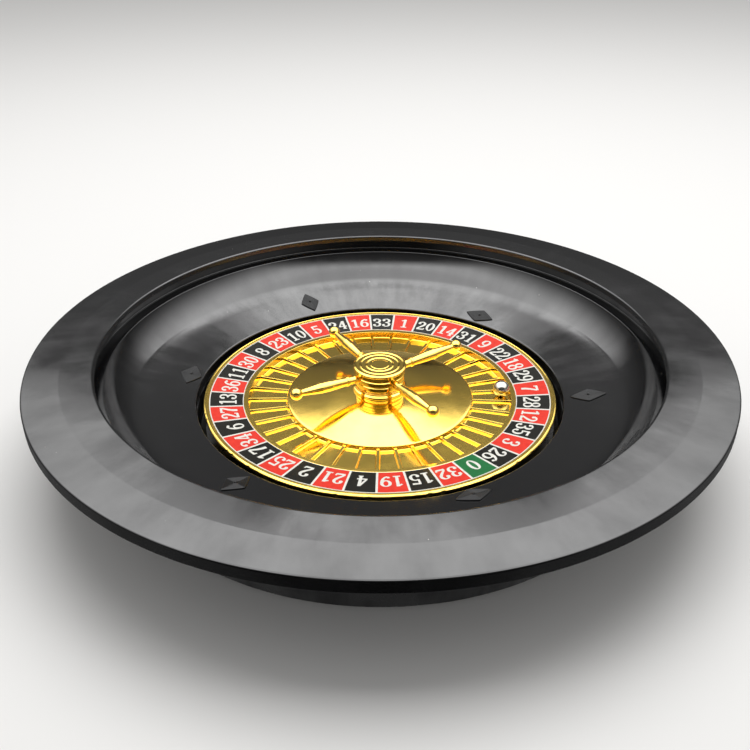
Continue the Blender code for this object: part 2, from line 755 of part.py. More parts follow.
saucer_low = seat_z + GAP
neck_low = saucer_low + SAUCER_HEIGHT
base_top = neck_low + NECK_HEIGHT
drum_low = base_top + GAP
drum_top = drum_low + DRUM_HEIGHT
cap_low = drum_top + GAP
cap_top = cap_low + CAP_THICKNESS
spigot_r = HUB_HOLE_R - GAP
nut_room_r = spigot_r - SPIGOT_WALL
nut_room_top = spindle_top + NUT_ROOM
column_top = drum_top - GAP
peg_low = cap_low - CAP_PEG_LENGTH


def make_turret_base():
    """The flared saucer, the neck, and the column that the drum slides over. It is hollow over the top nut."""
    outline = [
        (CAP_PEG_R + GAP, column_top),
        (COLUMN_R, column_top),
        (COLUMN_R, base_top),
        (NECK_R, base_top),
        (NECK_R, neck_low + SAUCER_ROUND),
        (SAUCER_FOOT_R, neck_low),
        (SAUCER_R - SAUCER_ROUND, neck_low - SAUCER_ROUND),
        (SAUCER_R, neck_low - 2 * SAUCER_ROUND),
        (SAUCER_R, saucer_low + SAUCER_ROUND),
        (SAUCER_FOOT_R, saucer_low),
        (spigot_r, saucer_low),
        (spigot_r, saucer_low - SPIGOT_LENGTH),
        (nut_room_r, saucer_low - SPIGOT_LENGTH),
        (nut_room_r, nut_room_top),
        (CAP_PEG_R + GAP, nut_room_top),
    ]
    turned("turret_base", outline, TURRET_SIDES, GOLD_PLATING)


def handle_place(index):
    """The frame of one handle: local Z points out along its axis from the drum's wall, and slightly up."""
    height = drum_low + DRUM_HEIGHT * HANDLE_ENTRY_SHARE
    azimuth = FIRST_HANDLE + index * 2 * math.pi / HANDLES
    return around(azimuth, DRUM_R, height) @ Matrix.Rotation(math.pi / 2 - HANDLE_RISE, 4, "Y")


def make_turret_drum():
    """The drum that the four handles plug into, with two turned grooves round it."""
    bore_r = COLUMN_R + GAP
    grooves = []
    for share in DRUM_GROOVE_SHARES:
        middle = drum_low + DRUM_HEIGHT * share
        grooves += [
            (DRUM_R, middle + DRUM_GROOVE_WIDTH / 2),
            (DRUM_R - DRUM_GROOVE, middle),
            (DRUM_R, middle - DRUM_GROOVE_WIDTH / 2),
        ]
    outline = [
        (bore_r, drum_top),
        (DRUM_R, drum_top),
        *grooves,
        (DRUM_R, drum_low + DRUM_ROUND),
        (DRUM_R - DRUM_ROUND, drum_low),
        (bore_r, drum_low),
    ]
    drum = turned("turret_drum", outline, TURRET_SIDES, GOLD_PLATING)

    def holes(bm):
        for i in range(HANDLES):
            depth = HANDLE_SPIGOT_LENGTH + GAP
            cylinder(bm, HANDLE_SPIGOT_R + GAP, -depth, OVERRUN, DOWEL_SIDES, handle_place(i))

    boolean(drum, as_cutter(solid_from("handle_hole_tool", holes, GOLD_PLATING)), "DIFFERENCE")


def make_turret_cap():
    """The cap with three raised rings round a flat middle, and the peg that goes down into the column."""
    crests = [CAP_R * share for share in CAP_BEAD_SHARES]
    valleys = [CAP_R * share for share in CAP_VALLEY_SHARES]
    rings = []
    for crest, valley in zip(crests, valleys):
        rings += [(crest, cap_top + CAP_BEAD), (valley, cap_top)]
    outline = [
        (0, cap_top + CAP_BEAD / 2),
        (valleys[-1] - CAP_BEAD, cap_top + CAP_BEAD / 2),
        *reversed(rings),
        (CAP_R, cap_top - CAP_BEAD / 2),
        (CAP_R, cap_low + CAP_BEAD / 2),
        (CAP_R - CAP_BEAD / 2, cap_low),
        (CAP_PEG_R, cap_low),
        (CAP_PEG_R, peg_low),
        (0, peg_low),
    ]
    turned("turret_cap", outline, TURRET_SIDES, GOLD_PLATING, ring=False)


def make_handles():
    """Four turned handles: spigot, stub, collar, swelling grip and ball knob."""
    stub_end = GAP + STUB_LENGTH
    collar_end = stub_end + COLLAR_WIDTH
    wide = collar_end + GRIP_SWELL
    grip_end = wide + GRIP_TAPER
    knob = grip_end + math.sqrt(KNOB_R**2 - GRIP_END_R**2)
    waist = math.asin(GRIP_END_R / KNOB_R)
    points = []
    for i in range(KNOB_STEPS + 1):
        angle = (math.pi - waist) * i / KNOB_STEPS
        points.append((KNOB_R * math.sin(angle), knob + KNOB_R * math.cos(angle)))
    outline = [
        (0, points[0][1]),
        *points[1:],
        (GRIP_WIDE_R, wide + GRIP_TAPER / 4),
        (GRIP_WIDE_R, wide),
        (GRIP_START_R, collar_end),
        (COLLAR_R, collar_end),
        (COLLAR_R, stub_end),
        (STUB_R, stub_end),
        (STUB_R, GAP),
        (HANDLE_SPIGOT_R, GAP),
        (HANDLE_SPIGOT_R, -HANDLE_SPIGOT_LENGTH),
        (0, -HANDLE_SPIGOT_LENGTH),
    ]
    for i in range(HANDLES):
        handle = turned(f"turret_handle_{i + 1}", outline, HANDLE_SIDES, GOLD_PLATING, ring=False)
        handle.matrix_world = handle_place(i)


def make_ball():
    """The steel ball, resting on the floor of its pocket and against the pocket's outer wall."""
    radius = band_in_r - GAP - BALL_R
    azimuth = FIRST_DIVIDER + (BALL_POCKET + 0.5) * PITCH
    ball = solid_from(
        "roulette_ball",
        lambda bm: bmesh.ops.create_uvsphere(bm, u_segments=16, v_segments=10, radius=BALL_R),
        POLISHED_STEEL,
    )
    ball.matrix_world = around(azimuth, radius, pocket_z + GAP + BALL_R)
    for face in ball.data.polygons:
        face.use_smooth = True


make_bowl()
make_rim()
make_casing()
make_base_plate()
make_foot_pads()
make_deflectors()
make_spindle()
make_bearing()
make_wheel_head()
make_number_ring()
make_turret_base()
make_turret_drum()
make_turret_cap()
make_handles()
make_ball()
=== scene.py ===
"""The finish of a 400 mm table roulette wheel: glossy black moulded bowl and rim, gold-plated wheel head with
its 37 pockets, printed number ring, turret with four handles, deflectors and ball, on a plain pale floor.

Lengths are written in millimetres and turned to metres by MM. Z is the wheel's axis and the floor is z = 0.
"""

import math

import bmesh
import bpy
import numpy as np
from mathutils import Matrix, Vector
from mathutils.geometry import delaunay_2d_cdt


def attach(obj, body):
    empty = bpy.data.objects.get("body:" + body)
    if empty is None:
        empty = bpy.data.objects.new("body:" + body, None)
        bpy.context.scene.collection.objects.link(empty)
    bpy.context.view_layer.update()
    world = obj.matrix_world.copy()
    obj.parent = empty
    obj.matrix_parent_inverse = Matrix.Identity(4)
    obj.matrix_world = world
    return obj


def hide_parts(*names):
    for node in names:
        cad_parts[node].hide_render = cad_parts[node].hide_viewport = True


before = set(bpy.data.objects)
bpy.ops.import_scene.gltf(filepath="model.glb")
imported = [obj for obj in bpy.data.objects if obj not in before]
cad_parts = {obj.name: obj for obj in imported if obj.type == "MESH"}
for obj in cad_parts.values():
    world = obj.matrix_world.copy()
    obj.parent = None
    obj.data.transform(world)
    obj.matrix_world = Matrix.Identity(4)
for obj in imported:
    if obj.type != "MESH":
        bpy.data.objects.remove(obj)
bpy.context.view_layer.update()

MM = 0.001
TURN = 2 * math.pi
POCKETS = 37
PITCH = TURN / POCKETS
FIRST_DIVIDER = math.radians(-3.36)  # azimuth of the divider before the first pocket
STEPS = 10 * POCKETS  # round a large turned piece
FLANGE_STEPS = 24 * POCKETS
SMALL_STEPS = 96  # round a small one

# Heights and radii of the frame's own pieces, in millimetres
SEAT_R = 15.9
SEAT_Z = 31.8
DISC_R = 55.4
DISC_Z = 26.8
POCKET_Z = 24.0
POCKET_IN_R = 56.4
POCKET_OUT_R = 78.4
BAND_IN_R = 78.9
BAND_Z = 28.0
RING_IN_R = 81.8
RING_OUT_R = 101.9
RING_IN_Z = 28.2
RING_OUT_Z = 29.96
FLANGE_R = 105.3
WELL_R = 109.3
CONE_Z = 31.06
CREASE_R = 142.3
CREASE_Z = 37.46
RIDGE_R = 158.3
RIDGE_Z = 53.96
BANK_TURN = math.radians(41.0)
LIP_R = 161.9
TRACK_R = 166.3
TRACK_TOP_Z = 60.76
LIP_Z = 64.76
RIM_CREASE_R = 180.19
RIM_CREASE_Z = 64.31
RIM_R = 200.0
RIM_EDGE_Z = 62.36
CONE_SLOPE = math.atan2(CREASE_Z - CONE_Z, CREASE_R - WELL_R)
DISC_FALL = 0.155  # slope of the disc's outer part
DOME_FALL = 0.06  # and of its part round the turret
DOME_BLEND = 0.25  # how softly the two meet
WALL = 2.6  # of the bowl and the rim
GAP = 0.3  # between pieces that seat on each other
COLLAR_Z = 25.06  # lower end of the bowl's inner edge

rng = np.random.default_rng(37)


# Shapes


def grid(points, wrap_rows=False, wrap_columns=False):
    """Quads between the neighbours of an (n, m, 3) grid of points, and across its ends where it closes."""
    rows, columns = points.shape[:2]
    index = np.arange(rows * columns).reshape(rows, columns)
    if wrap_rows:
        index = np.vstack((index, index[:1]))
    if wrap_columns:
        index = np.hstack((index, index[:, :1]))
    quads = np.stack((index[:-1, :-1], index[1:, :-1], index[1:, 1:], index[:-1, 1:]), -1)
    return points.reshape(-1, 3), quads.reshape(-1, 4)


def lathe(outline, steps=STEPS, ring=True, phase=0.0):
    """An outline of (r, z) points turned about Z: P(i, a) = (r_i cos a, r_i sin a, z_i).
    A ring's outline is closed, and any other starts and ends on the axis."""
    outline = np.asarray(outline, float)
    angles = phase + np.arange(steps) * TURN / steps
    radius = outline[:, :1]
    height = np.broadcast_to(outline[:, 1:], (len(outline), steps))
    points = np.stack((radius * np.cos(angles), radius * np.sin(angles), height), -1)
    return grid(points, wrap_rows=ring, wrap_columns=True)


def rounded(corners, ring=True, steps=4, hold=0.15):
    """An outline through (r, z, fillet) corners. Each corner becomes an arc tangent to both of its sides:
    the arc's ends lie fillet * tan(turn / 2) from the corner, and its points are q(t) = c - u cos t - v sin t.
    Sides longer than four holds get a point a hold away from each arc, which keeps their shading flat."""
    corners = [tuple(corner) + (0.0,) * (3 - len(corner)) for corner in corners]
    count = len(corners)
    path = []
    for i, (r, z, fillet) in enumerate(corners):
        here = np.array((r, z))
        if not ring and i in (0, count - 1):
            path.append([here])
            continue
        before = np.array(corners[i - 1][:2]) - here
        after = np.array(corners[(i + 1) % count][:2]) - here
        lengths = np.linalg.norm(before), np.linalg.norm(after)
        first, second = before / lengths[0], after / lengths[1]
        turn = math.pi - math.acos(np.clip(first @ second, -1, 1))
        reach = min(fillet * math.tan(turn / 2), 0.45 * min(lengths))
        if reach < 1e-4:
            path.append([here])
            continue
        radius = reach / math.tan(turn / 2)
        start = here + first * reach
        end = here + second * reach
        middle = (start + end) / 2 - here
        centre = here + middle / np.linalg.norm(middle) * math.hypot(radius, reach)
        along = (start - centre) / radius
        across = -first
        sweep = np.linspace(0, turn, steps + 1)
        path.append([centre + radius * (along * math.cos(t) + across * math.sin(t)) for t in sweep])
    outline = []
    for i, points in enumerate(path):
        outline.extend(points)
        if not ring and i == count - 1:
            break
        start, end = points[-1], path[(i + 1) % count][0]
        side = end - start
        length = np.linalg.norm(side)
        if length > 4 * hold:
            for share in (hold / length, 1 - hold / length):
                outline.append(start + side * share)
    return np.array(outline)


def arc(start, end, turn, steps):
    """Points on the arc from start to end that turns anticlockwise by the given angle, ends included:
    c + R (sin a, -cos a), with R = chord / (2 sin(turn / 2))."""
    start, end = np.array(start), np.array(end)
    chord = end - start
    radius = np.linalg.norm(chord) / (2 * math.sin(turn / 2))
    heading = math.atan2(chord[1], chord[0]) - turn / 2
    centre = start + radius * np.array((-math.sin(heading), math.cos(heading)))
    angles = heading + np.linspace(0, turn, steps + 1)
    return centre + radius * np.stack((np.sin(angles), -np.cos(angles)), -1)


def placed(part, matrix):
    """A part's points carried by a matrix whose shift is in millimetres: R p + t."""
    points, quads = part
    matrix = np.array(matrix)
    return points @ matrix[:3, :3].T + matrix[:3, 3], quads


def around(angle, radius=0.0, height=0.0):
    """The place at an azimuth, a radius and a height, turned to face outwards along X."""
    return Matrix.Rotation(angle, 4, "Z") @ Matrix.Translation((radius, 0, height))


def make_piece(name, parts, finishes, body, replaces=(), sharp=32.0):
    """One mesh from (points, faces) parts in millimetres. Each part may carry its finish's number as a third item.
    Doubles are merged, faces turned outwards, and edges past the sharp angle keep a crease."""
    points, faces, numbers = [], [], []
    shift = 0
    for part in parts:
        points.append(part[0])
        faces.extend((np.asarray(part[1]) + shift).tolist())
        number = part[2] if len(part) > 2 else 0
        numbers.extend(np.broadcast_to(number, len(part[1])).tolist())
        shift += len(part[0])
    mesh = bpy.data.meshes.new(name)
    mesh.from_pydata((np.concatenate(points) * MM).tolist(), [], faces)
    mesh.polygons.foreach_set("material_index", np.array(numbers, np.int32))
    bm = bmesh.new()
    bm.from_mesh(mesh)
    bmesh.ops.remove_doubles(bm, verts=bm.verts, dist=0.002 * MM)
    bmesh.ops.recalc_face_normals(bm, faces=bm.faces)
    bm.to_mesh(mesh)
    bm.free()
    mesh.shade_smooth()
    mesh.set_sharp_from_angle(angle=math.radians(sharp))
    for finish in finishes:
        mesh.materials.append(finish)
    piece = bpy.data.objects.new(name, mesh)
    bpy.context.scene.collection.objects.link(piece)
    if body:
        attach(piece, body)
    if replaces:
        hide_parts(*replaces)
    return piece


# Finishes


def linear(code):
    """An sRGB hex colour as linear red, green, blue and alpha."""
    channels = np.array([int(code[i : i + 2], 16) for i in (1, 3, 5)]) / 255
    curve = np.where(channels <= 0.04045, channels / 12.92, ((channels + 0.055) / 1.055) ** 2.4)
    return (*curve.tolist(), 1.0)


def per(size):
    """A pattern's scale for features of a size in millimetres."""
    return 1 / (size * MM)


def add(tree, kind, values=None, links=None, **settings):
    """A node with its settings, its unlinked values by socket, and its links from other nodes' outputs."""
    node = tree.nodes.new(kind)
    for key, setting in settings.items():
        setattr(node, key, setting)
    for socket, value in (values or {}).items():
        node.inputs[socket].default_value = value
    for socket, source in (links or {}).items():
        tree.links.new(source, node.inputs[socket])
    return node


def new_finish(name, base, roughness, metallic=0.0, **extra):
    """A material with its shader's uniform values set on the shader's own sockets."""
    material = bpy.data.materials.new(name)
    material.use_nodes = True
    tree = material.node_tree
    shader = tree.nodes["Principled BSDF"]
    shader.inputs["Base Color"].default_value = linear(base)
    shader.inputs["Roughness"].default_value = roughness
    shader.inputs["Metallic"].default_value = metallic
    for socket, value in extra.items():
        shader.inputs[socket.replace("_", " ")].default_value = value
    place = add(tree, "ShaderNodeTexCoord").outputs["Object"]
    return material, tree, shader, place


def polar(tree, place, around_scale, out_scale):
    """A vector of the angle round the wheel's axis and the radius from it, each at its own scale."""
    split = add(tree, "ShaderNodeSeparateXYZ", links={"Vector": place})
    angle = add(tree, "ShaderNodeMath", links={0: split.outputs["Y"], 1: split.outputs["X"]}, operation="ARCTAN2")
    flat = add(tree, "ShaderNodeVectorMath", {1: (1, 1, 0)}, {0: place}, operation="MULTIPLY")
    radius = add(tree, "ShaderNodeVectorMath", links={0: flat.outputs[0]}, operation="LENGTH")
    turns = add(tree, "ShaderNodeMath", {1: around_scale}, {0: angle.outputs[0]}, operation="MULTIPLY")
    out = add(tree, "ShaderNodeMath", {1: out_scale}, {0: radius.outputs["Value"]}, operation="MULTIPLY")
    joined = add(tree, "ShaderNodeCombineXYZ", links={"X": turns.outputs[0], "Y": out.outputs[0]})
    return joined.outputs[0]


def spread(tree, source, low, high, out_low, out_high):
    """A value moved from one range to another, and held inside it."""
    values = {"From Min": low, "From Max": high, "To Min": out_low, "To Max": out_high}
    return add(tree, "ShaderNodeMapRange", values, {"Value": source}).outputs["Result"]


def black_abs(name, roughness, specks=True):
    """Black ABS, injection moulded in a polished tool: glossy, with a faint moulding ripple, radial wiping
    smears that change the gloss, and fine dust."""
    material, tree, shader, place = new_finish(name, "#0C0C0D", roughness, IOR=1.52, Coat_Weight=0.6,
                                               Coat_Roughness=0.09)
    smear = add(tree, "ShaderNodeTexNoise", {"Scale": 1.0, "Detail": 6.0, "Roughness": 0.65},
                {"Vector": polar(tree, place, 12.0, per(45))})
    cloud = add(tree, "ShaderNodeTexNoise", {"Scale": per(28), "Detail": 4.0}, {"Vector": place})
    mixed = add(tree, "ShaderNodeMath", links={0: smear.outputs["Fac"], 1: cloud.outputs["Fac"]}, operation="ADD")
    rough = spread(tree, mixed.outputs[0], 0.75, 1.25, roughness * 0.6, roughness * 1.7)
    tree.links.new(rough, shader.inputs["Roughness"])
    tree.links.new(rough, shader.inputs["Coat Roughness"])
    film = spread(tree, mixed.outputs[0], 0.75, 1.25, 0.75, 0.5)
    tree.links.new(film, shader.inputs["Coat Weight"])
    ripple = add(tree, "ShaderNodeTexNoise", {"Scale": per(9), "Detail": 3.0}, {"Vector": place})
    grain = add(tree, "ShaderNodeTexNoise", {"Scale": per(0.8), "Detail": 2.0}, {"Vector": place})
    soft = add(tree, "ShaderNodeBump", {"Strength": 0.25, "Distance": 0.06 * MM}, {"Height": ripple.outputs["Fac"]})
    bump = add(tree, "ShaderNodeBump", {"Strength": 0.3, "Distance": 0.01 * MM},
               {"Height": grain.outputs["Fac"], "Normal": soft.outputs[0]})
    tree.links.new(bump.outputs[0], shader.inputs["Normal"])
    if specks:
        cells = add(tree, "ShaderNodeTexVoronoi", {"Scale": per(7), "Randomness": 1.0}, {"Vector": place})
        near = spread(tree, cells.outputs["Distance"], 0.02, 0.045, 1.0, 0.0)
        pick = add(tree, "ShaderNodeSeparateColor", links={"Color": cells.outputs["Color"]})
        some = add(tree, "ShaderNodeMath", {1: 0.8}, {0: pick.outputs[0]}, operation="GREATER_THAN")
        dust = add(tree, "ShaderNodeMath", links={0: near, 1: some.outputs[0]}, operation="MULTIPLY")
        colour = add(tree, "ShaderNodeMix", {"A": linear("#0C0C0D"), "B": linear("#A9A79F")},
                     {"Factor": dust.outputs[0]}, data_type="RGBA")
        tree.links.new(colour.outputs["Result"], shader.inputs["Base Color"])
    return material


def gold_plating(name, roughness, wave):
    """Vacuum gold plating on a moulded plastic: a bright mirror with the moulding's faint waviness, faint turned
    rings drawn coarser than the real ones so that they show, and a slightly duller bloom in places."""
    material, tree, shader, place = new_finish(name, "#FFDA6B", roughness, metallic=1.0)
    bloom = add(tree, "ShaderNodeTexNoise", {"Scale": per(12), "Detail": 4.0}, {"Vector": place})
    rough = spread(tree, bloom.outputs["Fac"], 0.3, 0.7, roughness * 0.7, roughness * 1.4)
    tree.links.new(rough, shader.inputs["Roughness"])
    tint = spread(tree, bloom.outputs["Fac"], 0.35, 0.7, 0.0, 1.0)
    colour = add(tree, "ShaderNodeMix", {"A": linear("#FFDA6B"), "B": linear("#F9D365")}, {"Factor": tint},
                 data_type="RGBA")
    tree.links.new(colour.outputs["Result"], shader.inputs["Base Color"])
    ripple = add(tree, "ShaderNodeTexNoise", {"Scale": per(5), "Detail": 2.0}, {"Vector": place})
    rings = add(tree, "ShaderNodeTexNoise", {"Scale": 1.0, "Detail": 2.0},
                {"Vector": polar(tree, place, 2.0, per(1.2))})
    soft = add(tree, "ShaderNodeBump", {"Strength": wave, "Distance": 0.08 * MM}, {"Height": ripple.outputs["Fac"]})
    bump = add(tree, "ShaderNodeBump", {"Strength": 0.1, "Distance": 0.01 * MM},
               {"Height": rings.outputs["Fac"], "Normal": soft.outputs[0]})
    tree.links.new(bump.outputs[0], shader.inputs["Normal"])
    return material


def printed(name, base, shade, roughness):
    """Screen-printed gloss card: an even ink film with faint mottling and the card's own tooth."""
    material, tree, shader, place = new_finish(name, base, roughness, IOR=1.5)
    mottle = add(tree, "ShaderNodeTexNoise", {"Scale": per(2.5), "Detail": 4.0}, {"Vector": place})
    share = spread(tree, mottle.outputs["Fac"], 0.35, 0.7, 0.0, 1.0)
    colour = add(tree, "ShaderNodeMix", {"A": linear(base), "B": linear(shade)}, {"Factor": share}, data_type="RGBA")
    tree.links.new(colour.outputs["Result"], shader.inputs["Base Color"])
    tooth = add(tree, "ShaderNodeTexNoise", {"Scale": per(0.6), "Detail": 2.0}, {"Vector": place})
    bump = add(tree, "ShaderNodeBump", {"Strength": 0.2, "Distance": 0.01 * MM}, {"Height": tooth.outputs["Fac"]})
    tree.links.new(bump.outputs[0], shader.inputs["Normal"])
    return material


def plain_metal(name, base, roughness):
    """Ground or polished steel: fine lay in the gloss, no colour of its own."""
    material, tree, shader, place = new_finish(name, base, roughness, metallic=1.0)
    lay = add(tree, "ShaderNodeTexNoise", {"Scale": per(0.7), "Detail": 3.0}, {"Vector": place})
    rough = spread(tree, lay.outputs["Fac"], 0.3, 0.7, roughness * 0.75, roughness * 1.3)
    tree.links.new(rough, shader.inputs["Roughness"])
    bump = add(tree, "ShaderNodeBump", {"Strength": 0.05, "Distance": 0.005 * MM}, {"Height": lay.outputs["Fac"]})
    tree.links.new(bump.outputs[0], shader.inputs["Normal"])
    return material


def textured_abs(name):
    """The same black ABS where the tool is spark-textured: duller, with a fine grain that breaks the light up."""
    material, tree, shader, place = new_finish(name, "#0A0A0B", 0.32, IOR=1.52, Specular_IOR_Level=0.3)
    grain = add(tree, "ShaderNodeTexVoronoi", {"Scale": per(0.55)}, {"Vector": place})
    rough = spread(tree, grain.outputs["Distance"], 0.1, 0.7, 0.26, 0.38)
    tree.links.new(rough, shader.inputs["Roughness"])
    bump = add(tree, "ShaderNodeBump", {"Strength": 0.5, "Distance": 0.05 * MM},
               {"Height": grain.outputs["Distance"]})
    tree.links.new(bump.outputs[0], shader.inputs["Normal"])
    return material


def matt_moulding(name, base, roughness, size):
    """Rubber or unpolished polymer: a matt moulded surface with an even fine texture."""
    material, tree, shader, place = new_finish(name, base, roughness)
    texture = add(tree, "ShaderNodeTexNoise", {"Scale": per(size), "Detail": 3.0}, {"Vector": place})
    rough = spread(tree, texture.outputs["Fac"], 0.3, 0.7, roughness * 0.85, min(1.0, roughness * 1.15))
    tree.links.new(rough, shader.inputs["Roughness"])
    bump = add(tree, "ShaderNodeBump", {"Strength": 0.4, "Distance": 0.03 * MM}, {"Height": texture.outputs["Fac"]})
    tree.links.new(bump.outputs[0], shader.inputs["Normal"])
    return material


BOWL_ABS = black_abs("moulded_black_abs", 0.13)
RIM_ABS = black_abs("moulded_black_abs_rim", 0.15)
CASING_ABS = black_abs("moulded_black_abs_casing", 0.3, specks=False)
DEFLECTOR_ABS = textured_abs("textured_black_abs")
HEAD_GOLD = gold_plating("gold_plated_moulding", 0.12, 0.08)
TURRET_GOLD = gold_plating("gold_plated_turning", 0.08, 0.08)
RED_PRINT = printed("red_screen_print", "#E83C2B", "#DE3326", 0.22)
BLACK_PRINT = printed("black_screen_print", "#12110B", "#181710", 0.22)
GREEN_PRINT = printed("green_screen_print", "#0E6B35", "#0A5F2E", 0.3)
WHITE_PRINT = printed("white_gloss_card", "#E8E7DF", "#DDDCD3", 0.32)
BRIGHT_STEEL = plain_metal("ground_steel", "#B9B9BC", 0.24)
BALL_STEEL = plain_metal("polished_steel", "#B4B0A8", 0.1)
CAGE_POLYMER = matt_moulding("cage_nylon", "#2A2A2C", 0.5, 0.8)
PAD_RUBBER = matt_moulding("foot_rubber", "#1A1A1A", 0.8, 1.2)


# Bowl, rim and casing


def cone_height(radius):
    """The cone's straight slope, z0 + (r - r0) tan(slope)."""
    return CONE_Z + (radius - WELL_R) * math.tan(CONE_SLOPE)


def make_bowl():
    """The bowl's outline turned about the axis. The cone blends into the bank on the curve
    (1 - t)^2 a + 2 t (1 - t) b + t^2 c, where b is the corner that their slopes would meet in."""
    bank = arc((CREASE_R, CREASE_Z), (RIDGE_R, RIDGE_Z), BANK_TURN, 28)
    blend_end = 4  # the point of the bank that the blend runs into
    blend_start_r, blend_corner_r = 134.0, 142.69
    low = np.array((blend_start_r, cone_height(blend_start_r)))
    corner = np.array((blend_corner_r, cone_height(blend_corner_r)))
    t = np.linspace(0, 1, 15)[:, None]
    blend = (1 - t) ** 2 * low + 2 * t * (1 - t) * corner + t**2 * bank[blend_end]
    inner_edge = rounded([
        (WELL_R + WALL, COLLAR_Z, 0.4), (WELL_R, COLLAR_Z, 0.4), (WELL_R, CONE_Z, 0.9), tuple(low),
    ], ring=False)
    wall_top = TRACK_TOP_Z - 0.3
    shelf_and_underside = rounded([
        tuple(bank[-2]), (RIDGE_R, RIDGE_Z, 0.35), (TRACK_R, RIDGE_Z, 0.8), (TRACK_R - 1.2, wall_top, 0.2),
        (TRACK_R + WALL, wall_top, 0.4), (TRACK_R + WALL, RIDGE_Z - WALL, 0.8), (RIDGE_R + 1.2, RIDGE_Z - WALL, 2.0),
        (CREASE_R + 1.2, CREASE_Z - 2.7, 4.0), (WELL_R + WALL, CONE_Z - 2.1, 1.0), (WELL_R + WALL, COLLAR_Z),
    ], ring=False)
    outline = np.concatenate((inner_edge, blend[1:], bank[blend_end + 1 : -1], shelf_and_underside[1:-1]))
    make_piece("bowl_shell", [lathe(outline)], [BOWL_ABS], "base", ["bowl"], sharp=50)


def make_rim():
    """The rim's closed outline turned about the axis: lip, two sloped faces, skirt, and the ring underneath that
    locates it round the bowl."""
    skirt_z = 55.46
    under_z = RIM_CREASE_Z - WALL
    locator_in_r, locator_out_r, locator_z = 169.2, 171.2, 56.26
    outline = rounded([
        (LIP_R, TRACK_TOP_Z, 0.5), (LIP_R, LIP_Z, 1.2), (RIM_CREASE_R, RIM_CREASE_Z, 6.0),
        (RIM_R, RIM_EDGE_Z + 0.02, 1.1), (RIM_R, skirt_z, 0.35), (RIM_R - WALL, skirt_z, 0.35),
        (RIM_R - WALL, RIM_EDGE_Z - 2.7, 1.0), (RIM_CREASE_R, under_z, 3.0), (locator_out_r, under_z, 0.5),
        (locator_out_r, locator_z, 0.3), (locator_in_r, locator_z, 0.3), (locator_in_r, TRACK_TOP_Z, 0.2),
    ], steps=6)
    make_piece("rim_shell", [lathe(outline)], [RIM_ABS], "base", ["rim"], sharp=50)


def make_casing():
    """The casing's closed outline turned about the axis. Its inner face is r = r0 - w + (z - z0) slope, and a
    ledge stands out of it under the base plate."""
    top_r, foot_r = 168.9, 153.3
    low, high = 2.0, 51.06
    wall = 3.2
    ledge_r, ledge_low, ledge_high = 148.0, 7.6, 10.1
    slope = (top_r - foot_r) / (high - low)

    def inner(z):
        return foot_r - wall + (z - low) * slope

    outline = rounded([
        (top_r, high, 0.4), (foot_r, low, 0.8), (inner(low), low, 0.4), (inner(ledge_low), ledge_low, 0.5),
        (ledge_r, ledge_low, 0.3), (ledge_r, ledge_high, 0.3), (inner(ledge_high), ledge_high, 0.4),
        (top_r - wall, high, 0.4),
    ])
    make_piece("casing_shell", [lathe(outline)], [CASING_ABS], "base", ["casing"], sharp=50)


# Wheel head


def fret(index):
    """One divider between two pockets: a low section of (across, height) points with a flat top, carried out
    along its radius from the centre disc to the outer wall and closed at both ends."""
    root, foot, crest = 1.4, 1.35, 0.85  # half its width below the pockets' floor, at the floor and on top
    root_z, crest_z = POCKET_Z - 0.6, POCKET_Z + 1.35
    section = rounded([
        (-root, root_z), (root, root_z), (foot, POCKET_Z, 0.1), (crest, crest_z, 0.2), (-crest, crest_z, 0.2),
        (-foot, POCKET_Z, 0.1),
    ], hold=0.05)
    outs = np.array([DISC_R - 0.2, DISC_R + 0.6, 66.0, BAND_IN_R - 0.2, BAND_IN_R + 0.6])
    rows = np.stack((np.broadcast_to(outs[:, None], (len(outs), len(section))),
                     np.broadcast_to(section[:, 0], (len(outs), len(section))),
                     np.broadcast_to(section[:, 1], (len(outs), len(section)))), -1)
    middle = section.mean(0)
    ends = [np.broadcast_to((r, *middle), (1, len(section), 3)) for r in (outs[0], outs[-1])]
    points = np.concatenate((ends[0], rows, ends[1]))
    return placed(grid(points, wrap_columns=True), around(FIRST_DIVIDER + index * PITCH))


def flash(points):
    """The flange's outer edge as moulded: its radius is cut back by a smoothed random amount and by a few short
    notches, so that r' = r - w(r) (n(a) + k(a)), with w rising from 0 on the bead to 1 on the edge."""
    notches, bead_r, edge_width = 26, 103.9, 0.9
    angle = np.arctan2(points[..., 1], points[..., 0])
    radius = np.hypot(points[..., 0], points[..., 1])
    waves = sum(
        rng.normal() * np.cos(count * angle + rng.uniform(0, TURN)) / math.sqrt(count) for count in range(9, 120, 5)
    )
    depth = 0.16 * np.clip(waves, 0, 2.2)
    for notch in rng.uniform(0, TURN, notches):
        apart = np.angle(np.exp(1j * (angle - notch))) * FLANGE_R
        depth += rng.uniform(0.25, 0.6) * np.exp(-(apart / rng.uniform(0.5, 1.4)) ** 2)
    weight = np.clip((radius - bead_r) / edge_width, 0, 1)
    scale = (radius - weight * np.clip(depth, 0, 1.0)) / radius
    points = points.copy()
    points[..., :2] *= scale[..., None]
    return points


def disc_height(radius):
    """The centre disc's dome: the smooth lesser of two lines, -k ln(exp(-a / k) + exp(-b / k)), where a falls to
    the disc's edge and b falls more gently from the turret's foot."""
    outer = DISC_Z + DISC_FALL * (DISC_R - radius)
    inner = SEAT_Z - DOME_FALL * (radius - SEAT_R)
    return -DOME_BLEND * np.log(np.exp(-outer / DOME_BLEND) + np.exp(-inner / DOME_BLEND))


